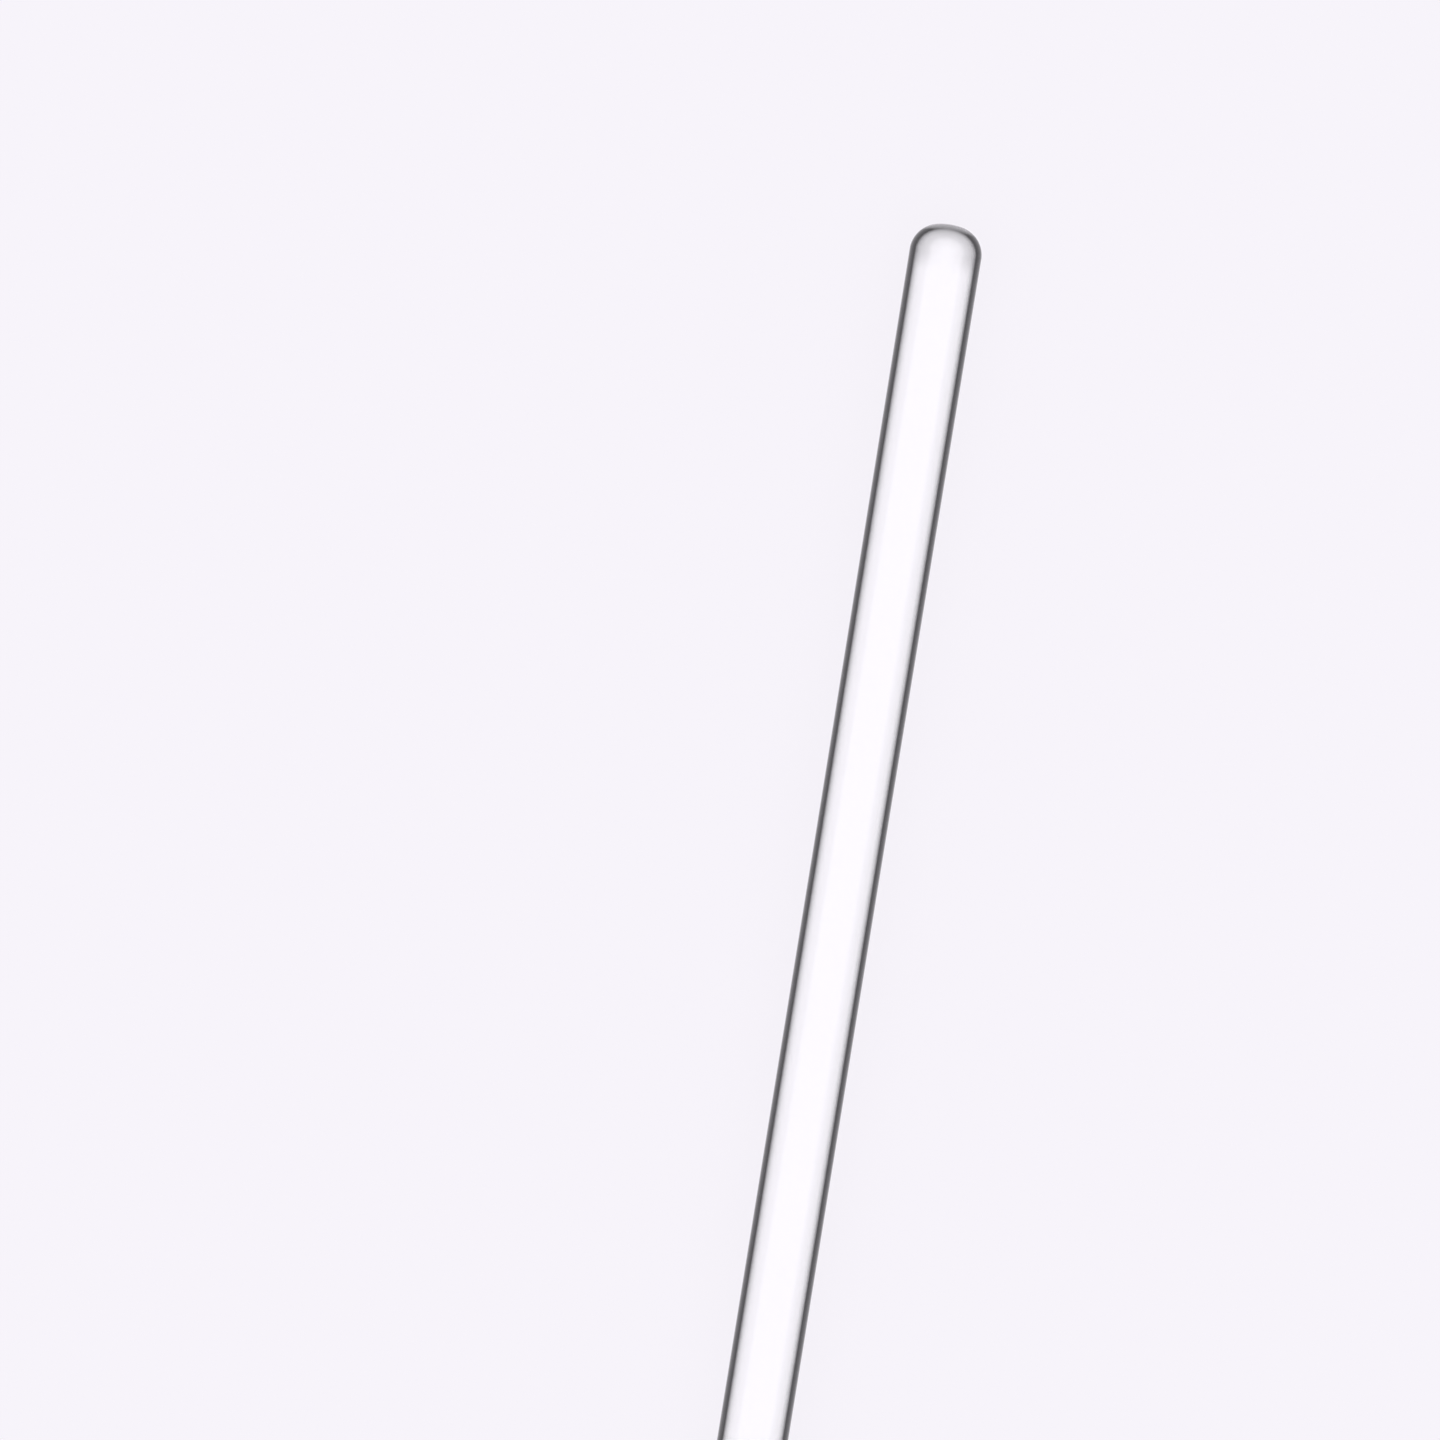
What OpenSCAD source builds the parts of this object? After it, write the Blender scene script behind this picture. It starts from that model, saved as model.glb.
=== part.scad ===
// Solid glass stirring rod with fire-polished ends.
// It is one piece of drawn glass. The rod lies along X, and the origin is on its axis, midway between
// its ends. Lengths are in millimetres.

/* [Rod] */
// Length over both rounded ends
rod_length = 200; // [120:5:400]
// Diameter of the straight shank
rod_diameter = 6; // [3:0.5:12]

/* [Fire-polished ends] */
// Diameter where an end begins to round off, as a multiple of the shank's
swell_ratio = 1.03; // [1:0.005:1.1]
// Length over which the shank thickens towards an end
swell_length = 50; // [5:1:50]
// Radius of the slightly flattened face of an end, as a multiple of the end's radius
crown_ratio = 1.81; // [1.2:0.01:3]
// Radius of the melted shoulder round that face, as a share of the end's radius
shoulder_ratio = 0.8; // [0.3:0.01:0.96]

/* [Hidden] */
$fn = 128;

shank_r = rod_diameter / 2;
end_r = swell_ratio * shank_r;
crown_r = crown_ratio * end_r;
shoulder_r = shoulder_ratio * end_r;

// The face and the shoulder meet without an edge: the centres of their two arcs and the point where
// they meet are on one line. From the face's centre to the shoulder's, that line runs shoulder_x away
// from the rod's axis and centre_gap along it.
shoulder_x = end_r - shoulder_r;
centre_gap = sqrt((crown_r - shoulder_r) ^ 2 - shoulder_x ^ 2);
end_height = crown_r - centre_gap;
end_base = rod_length / 2 - end_height;
straight_half = end_base - swell_length;

// A wedge from the face's centre, between the rod's axis and the line through the point where the two
// arcs meet. It reaches well outside the rod.
module face_wedge() {
    far = 10;
    translate([0, -centre_gap])
        polygon([
            [0, 0],
            [far * shoulder_x, far * centre_gap],
            [0, far * centre_gap]
        ]);
}

// Half of the section through a rounded end. Its base is on the X axis, and the rod's axis is on Y.
module end_section() {
    // the face
    intersection() {
        translate([0, -centre_gap])
            circle(r = crown_r);
        face_wedge();
        square([end_r, end_height]);
    }
    // the shoulder
    difference() {
        intersection() {
            translate([shoulder_x, 0])
                circle(r = shoulder_r);
            square([end_r, end_height]);
        }
        face_wedge();
    }
}

// Half of the section through the shank, straight in the middle and thicker towards both ends
module shank_section() {
    polygon([
        [0, -end_base],
        [end_r, -end_base],
        [shank_r, -straight_half],
        [shank_r, straight_half],
        [end_r, end_base],
        [0, end_base]
    ]);
}

module rod() {
    color([0.93, 0.96, 0.95, 0.35])
        rotate([0, 90, 0])
            rotate_extrude() {
                shank_section();
                for (side = [0, 1])
                    mirror([0, side])
                        translate([0, end_base])
                            end_section();
            }
}

rod();
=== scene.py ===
"""A clear glass stirring rod on a pale studio floor, seen from straight above.

Lengths are in metres, in the frame of the CAD model: the rod lies along X and its middle is the origin.
"""
import math

import bmesh
import bpy
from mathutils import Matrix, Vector


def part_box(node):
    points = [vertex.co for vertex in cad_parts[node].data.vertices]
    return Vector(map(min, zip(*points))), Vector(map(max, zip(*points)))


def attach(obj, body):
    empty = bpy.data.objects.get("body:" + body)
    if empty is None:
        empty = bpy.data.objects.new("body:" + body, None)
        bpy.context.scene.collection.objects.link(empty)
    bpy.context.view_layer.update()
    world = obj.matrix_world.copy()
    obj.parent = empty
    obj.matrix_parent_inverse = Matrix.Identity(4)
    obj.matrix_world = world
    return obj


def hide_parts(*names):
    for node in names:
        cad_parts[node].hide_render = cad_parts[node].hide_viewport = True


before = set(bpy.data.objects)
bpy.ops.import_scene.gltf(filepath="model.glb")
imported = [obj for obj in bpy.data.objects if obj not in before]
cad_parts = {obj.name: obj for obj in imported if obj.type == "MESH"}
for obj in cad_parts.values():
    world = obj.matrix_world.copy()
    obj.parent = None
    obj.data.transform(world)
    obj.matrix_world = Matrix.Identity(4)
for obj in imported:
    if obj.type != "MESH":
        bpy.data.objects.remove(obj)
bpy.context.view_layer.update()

MM = 0.001

# ---- The rod, sized from its CAD node ----
ROD_LOW, ROD_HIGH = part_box("rod")
HALF_LENGTH = (ROD_HIGH.x - ROD_LOW.x) / 2
END_R = (ROD_HIGH.z - ROD_LOW.z) / 2  # where an end begins to round off
SWELL_RATIO = 1.03  # that radius as a multiple of the shank's
SWELL_LENGTH = 50 * MM  # over which the shank thickens towards an end
SHANK_R = END_R / SWELL_RATIO
CROWN_R = 1.81 * END_R  # the slightly flattened face of each fire-polished end
SHOULDER_R = 0.8 * END_R  # the melted shoulder round that face
SEGMENTS = 192  # round the rod
SHANK_RINGS = 200
SHOULDER_RINGS = 40
CROWN_RINGS = 12
# Drawing leaves the shank a little thinner in places: the depth is a share of its radius.
WAVE_DEPTH = 0.0012
WAVES = ((1.0, 7 * MM, 0.0), (0.6, 3.1 * MM, 1.3))  # each with its share, length per radian and phase
WAVE_FADE = 0.25  # they die away towards the ends: the smaller this power, the later

# ---- The glass ----
GLASS_IOR = 1.473  # borosilicate 3.3
# Facing runs from 0, where the surface is seen square on, to 1 at the silhouette. Real glass bends the
# light there away from what is bright behind it, which draws a dark line along each edge. Light from
# all round leaves that line too faint, so that line and a grey beside it are painted shade in the base
# colour, by Facing.
FACING_BLEND = 0.5  # makes Facing 1 minus the cosine of the angle
PAINTED_GREY_FROM, PAINTED_GREY_TO, PAINTED_GREY_DEPTH = 0.14, 0.36, 0.30  # painted shade: the soft grey beside the dark line
END_PAINTED_GREY_FROM, END_PAINTED_GREY_TO, END_PAINTED_GREY_DEPTH = 0.0, 0.30, 0.52  # painted shade: a rounded end's wider and darker grey
END_FROM, END_TO = 4.5 * MM, 2.5 * MM  # from the tip: where the one painted grey turns into the other
PAINTED_LINE_FROM, PAINTED_LINE_TO, PAINTED_LINE_BASE = 0.264, 0.484, 0.0005  # the painted dark line, and the base colour left in it
# The face of an end looks along the rod, so more light reaches it: its painted dark line is painted paler
# there, as painted light.
FACE_FROM, FACE_TO, PAINTED_FACE_LIGHT = 0.68, 0.88, 0.25  # by how squarely a spot faces along the rod

# Drawing leaves faint lines along the rod, and handling a faint haze.
LINE_SCALE = (6, 700, 700)  # per metre, so that the lines run along X
LINE_DETAIL, LINE_STRENGTH, LINE_DEPTH = 3.0, 0.06, 0.02 * MM
HAZE_SCALE, HAZE_DETAIL = 90, 4.0
HAZE_FROM, HAZE_TO = 0.45, 0.7  # of the noise
HAZE_LOW, HAZE_HIGH = 0.0, 0.025  # the roughness it gives
BODY_TINT, BODY_DENSITY = (0.55, 0.8, 0.68), 2.5  # turns light pale green on a long way through the rod

# ---- The floor and the light ----
FLOOR_RADIUS = 9.0
FLOOR_SEGMENTS = 96
FLOOR_GAP = 0.01 * MM  # between the rod and the floor
FLOOR_TONE = (0.972, 0.945, 0.999)  # the dome of light has the same one
FLOOR_ALBEDO = 0.04
FLOOR_ROUGHNESS = 0.6
FLOOR_GLOW = 0.885  # the floor is opal, lit from below
# The dome of light round the rod, by the sine of the height above the horizon
HORIZON_LIGHT = 0.953
SKY_FROM, SKY_TO, SKY_LIGHT = 0.02, 0.35, 0.61
ZENITH_FROM, ZENITH_TO, ZENITH_LIGHT = 0.45, 0.68, 1.85
LIGHT_BOUNCES = 48  # enough for light that runs along the rod from end to end, between its walls

# ---- The picture ----
LENS_MM, SENSOR_MM = 120, 36
PICTURE_WIDTH = 0.1227  # what the camera sees across, at the height of the rod's axis
ROD_LEAN = math.radians(9.24)  # from upright in the picture, with the near end up and to the right
TIP_RIGHT, TIP_UP = 19.62 * MM, 42.2 * MM  # the near end's tip, from the middle of the picture


# ------------------------------------------------------------------ nodes
def new_material(name):
    """An empty material, and its Principled shader wired to the output."""
    mat = bpy.data.materials.new(name)
    mat.use_nodes = True
    return mat, mat.node_tree, mat.node_tree.nodes["Principled BSDF"]


def add(nt, kind, values=(), **settings):
    """A node with its settings. Each pair in values is an input, and the value or socket that it gets."""
    node = nt.nodes.new("ShaderNode" + kind)
    for key, value in settings.items():
        setattr(node, key, value)
    for key, value in values:
        if isinstance(value, bpy.types.NodeSocket):
            nt.links.new(value, node.inputs[key])
        else:
            node.inputs[key].default_value = value
    return node


def ramp(nt, value, start, end, low=0.0, high=1.0, shape="SMOOTHSTEP"):
    """low before start, high after end, and a smooth or linear ramp between them."""
    node = add(
        nt,
        "MapRange",
        [("Value", value), ("From Min", start), ("From Max", end), ("To Min", low), ("To Max", high)],
        interpolation_type=shape,
    )
    return node.outputs["Result"]


def math_node(nt, operation, *values):
    """The result of one operation on numbers or sockets."""
    return add(nt, "Math", list(enumerate(values)), operation=operation).outputs[0]


def make_object(name, bm, material):
    """An object in the scene, from what bm holds."""
    mesh = bpy.data.meshes.new(name)
    bm.to_mesh(mesh)
    bm.free()
    mesh.materials.append(material)
    thing = bpy.data.objects.new(name, mesh)
    bpy.context.collection.objects.link(thing)
    return thing


# ------------------------------------------------------------------ the rod
def end_arcs():
    """The height of a rounded end, and its outline as (distance from its base, radius) from the shank."""
    shoulder_off = END_R - SHOULDER_R
    join = math.asin(shoulder_off / (CROWN_R - SHOULDER_R))
    height = CROWN_R - (CROWN_R - SHOULDER_R) * math.cos(join)
    points = []
    for i in range(SHOULDER_RINGS):
        a = (math.pi / 2 - join) * i / SHOULDER_RINGS
        points.append((SHOULDER_R * math.sin(a), shoulder_off + SHOULDER_R * math.cos(a)))
    for i in range(CROWN_RINGS):
        a = join * (1 - i / CROWN_RINGS)
        points.append((height - CROWN_R + CROWN_R * math.cos(a), CROWN_R * math.sin(a)))
    return height, points


def rod_outline():
    """(x, radius) of each ring from one end to the other, without the two tips."""
    height, arcs = end_arcs()
    end_base = HALF_LENGTH - height
    near = [(end_base + along, r) for along, r in arcs]
    far = [(-x, r) for x, r in reversed(near)]
    shank = []
    crest = sum(share for share, length, phase in WAVES)
    for i in range(1, SHANK_RINGS):
        x = end_base * (2 * i / SHANK_RINGS - 1)
        swell = max(0, 1 - (end_base - abs(x)) / SWELL_LENGTH)
        wave = sum(share * math.sin(x / length + phase) for share, length, phase in WAVES)
        fade = math.cos(math.pi / 2 * x / end_base) ** WAVE_FADE
        thinner = WAVE_DEPTH * fade * (crest - wave) / (2 * crest)
        shank.append((x, SHANK_R * (1 + (SWELL_RATIO - 1) * swell - thinner)))
    return far + shank + near


def lathe_rod():
    """The rod as one closed surface, with quads between its rings and a fan of triangles at each tip."""
    bm = bmesh.new()
    rings = []
    for x, r in rod_outline():
        turns = (2 * math.pi * k / SEGMENTS for k in range(SEGMENTS))
        rings.append([bm.verts.new((x, r * math.cos(a), r * math.sin(a))) for a in turns])
    for ring, following in zip(rings, rings[1:]):
        for k in range(SEGMENTS):
            n = (k + 1) % SEGMENTS
            bm.faces.new((ring[k], following[k], following[n], ring[n]))
    for ring, x in ((rings[0], -HALF_LENGTH), (rings[-1], HALF_LENGTH)):
        tip = bm.verts.new((x, 0, 0))
        for k in range(SEGMENTS):
            bm.faces.new((tip, ring[k], ring[(k + 1) % SEGMENTS]))
    bmesh.ops.recalc_face_normals(bm, faces=bm.faces)
    return bm


def make_rod():
    """The glass rod, which stands for the CAD node."""
    rod = make_object("glass_rod", lathe_rod(), glass_material())
    rod.data.shade_smooth()
    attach(rod, "root")
    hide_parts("rod")


def draw_lines(nt, place):
    """The normal of a surface with faint lines along the rod."""
    stretched = add(nt, "Mapping", [("Vector", place), ("Scale", LINE_SCALE)]).outputs[0]
    noise = add(nt, "TexNoise", [("Vector", stretched), ("Scale", 1.0), ("Detail", LINE_DETAIL)]).outputs[0]
    bump = add(nt, "Bump", [("Strength", LINE_STRENGTH), ("Distance", LINE_DEPTH), ("Height", noise)])
    return bump.outputs[0]


def haze(nt, place):
    """The roughness of a surface with a faint haze in places."""
    noise = add(nt, "TexNoise", [("Vector", place), ("Scale", HAZE_SCALE), ("Detail", HAZE_DETAIL)])
    return ramp(nt, noise.outputs[0], HAZE_FROM, HAZE_TO, HAZE_LOW, HAZE_HIGH)


def distance_in_x(nt, vector):
    """How far a vector reaches along the rod, either way."""
    return math_node(nt, "ABSOLUTE", add(nt, "SeparateXYZ", [(0, vector)]).outputs["X"])


def paint_edge_shade(nt, place, surface_normal, bumped_normal):
    """The base colour, with painted shade towards the silhouette: first a grey, then the dark line."""
    # painted shade by Facing: a grey, then a dark line towards the silhouette
    facing = add(nt, "LayerWeight", [("Blend", FACING_BLEND), ("Normal", bumped_normal)]).outputs["Facing"]
    shank_shade_paint = ramp(nt, facing, PAINTED_GREY_FROM, PAINTED_GREY_TO, 1.0, 1.0 - PAINTED_GREY_DEPTH)
    end_shade_paint = ramp(nt, facing, END_PAINTED_GREY_FROM, END_PAINTED_GREY_TO, 1.0, 1.0 - END_PAINTED_GREY_DEPTH, "LINEAR")
    at_end = ramp(nt, distance_in_x(nt, place), HALF_LENGTH - END_FROM, HALF_LENGTH - END_TO)
    painted_grey = add(nt, "Mix", [("Factor", at_end), ("A", shank_shade_paint), ("B", end_shade_paint)]).outputs["Result"]
    # painted light: the painted dark line is paler where a spot faces along the rod
    darkest = ramp(nt, distance_in_x(nt, surface_normal), FACE_FROM, FACE_TO, PAINTED_LINE_BASE, PAINTED_FACE_LIGHT)
    painted_line = ramp(nt, facing, PAINTED_LINE_FROM, PAINTED_LINE_TO, 1.0, darkest)
    return math_node(nt, "MULTIPLY", painted_grey, painted_line)


def glass_material():
    mat, nt, shader = new_material("clear_glass")
    shader.inputs["IOR"].default_value = GLASS_IOR
    shader.inputs["Transmission Weight"].default_value = 1.0
    coords = add(nt, "TexCoord").outputs
    place = coords["Object"]
    normal = draw_lines(nt, place)
    nt.links.new(normal, shader.inputs["Normal"])
    nt.links.new(haze(nt, place), shader.inputs["Roughness"])
    # the base colour carries the painted edge shade
    nt.links.new(paint_edge_shade(nt, place, coords["Normal"], normal), shader.inputs["Base Color"])
    body = add(nt, "VolumeAbsorption", [("Color", (*BODY_TINT, 1)), ("Density", BODY_DENSITY)])
    nt.links.new(body.outputs[0], nt.nodes["Material Output"].inputs["Volume"])
    return mat


# ------------------------------------------------------------------ the studio
def floor_material():
    mat, nt, shader = new_material("opal_floor")
    shader.inputs["Roughness"].default_value = FLOOR_ROUGHNESS
    shader.inputs["Specular IOR Level"].default_value = 0.0
    shader.inputs["Emission Color"].default_value = (*FLOOR_TONE, 1)
    shader.inputs["Emission Strength"].default_value = FLOOR_GLOW
    shader.inputs["Base Color"].default_value = (*(FLOOR_ALBEDO * c for c in FLOOR_TONE), 1)
    return mat


def make_floor():
    bm = bmesh.new()
    bmesh.ops.create_circle(bm, cap_ends=True, segments=FLOOR_SEGMENTS, radius=FLOOR_RADIUS)
    floor = make_object("studio_floor", bm, floor_material())
    floor.location.z = ROD_LOW.z - FLOOR_GAP


def make_light():
    """A dome of soft light: as bright as the floor at the horizon, dimmer above, and brightest overhead."""
    world = bpy.data.worlds.new("studio")
    world.use_nodes = True
    nt = world.node_tree
    direction = add(nt, "TexCoord").outputs["Generated"]
    up = add(nt, "SeparateXYZ", [(0, direction)]).outputs["Z"]
    dome = ramp(nt, up, SKY_FROM, SKY_TO, HORIZON_LIGHT, SKY_LIGHT)
    zenith = ramp(nt, up, ZENITH_FROM, ZENITH_TO, 0.0, ZENITH_LIGHT)
    background = nt.nodes["Background"]
    background.inputs["Color"].default_value = (*FLOOR_TONE, 1)
    nt.links.new(math_node(nt, "ADD", dome, zenith), background.inputs["Strength"])
    bpy.context.scene.world = world


def let_light_run():
    """Seen end on, a glass rod is bright because light comes along it from its other end."""
    cycles = bpy.context.scene.cycles
    cycles.max_bounces = LIGHT_BOUNCES
    cycles.glossy_bounces = LIGHT_BOUNCES
    cycles.transmission_bounces = LIGHT_BOUNCES


def make_camera():
    """Straight above, turned so that the rod leans as it should, with its near end at its place."""
    data = bpy.data.cameras.new("camera")
    data.lens = LENS_MM
    data.sensor_width = SENSOR_MM
    camera = bpy.data.objects.new("camera", data)
    bpy.context.collection.objects.link(camera)
    picture_up = Vector((math.cos(ROD_LEAN), math.sin(ROD_LEAN), 0))
    picture_right = Vector((math.sin(ROD_LEAN), -math.cos(ROD_LEAN), 0))
    aim = Vector((HALF_LENGTH, 0, 0)) - TIP_RIGHT * picture_right - TIP_UP * picture_up
    camera.location = aim + Vector((0, 0, PICTURE_WIDTH * LENS_MM / SENSOR_MM))
    camera.rotation_euler = (0, 0, ROD_LEAN - math.pi / 2)
    bpy.context.scene.camera = camera


make_camera()
make_rod()
make_floor()
make_light()
let_light_run()
bpy.context.scene.view_settings.view_transform = "Standard"
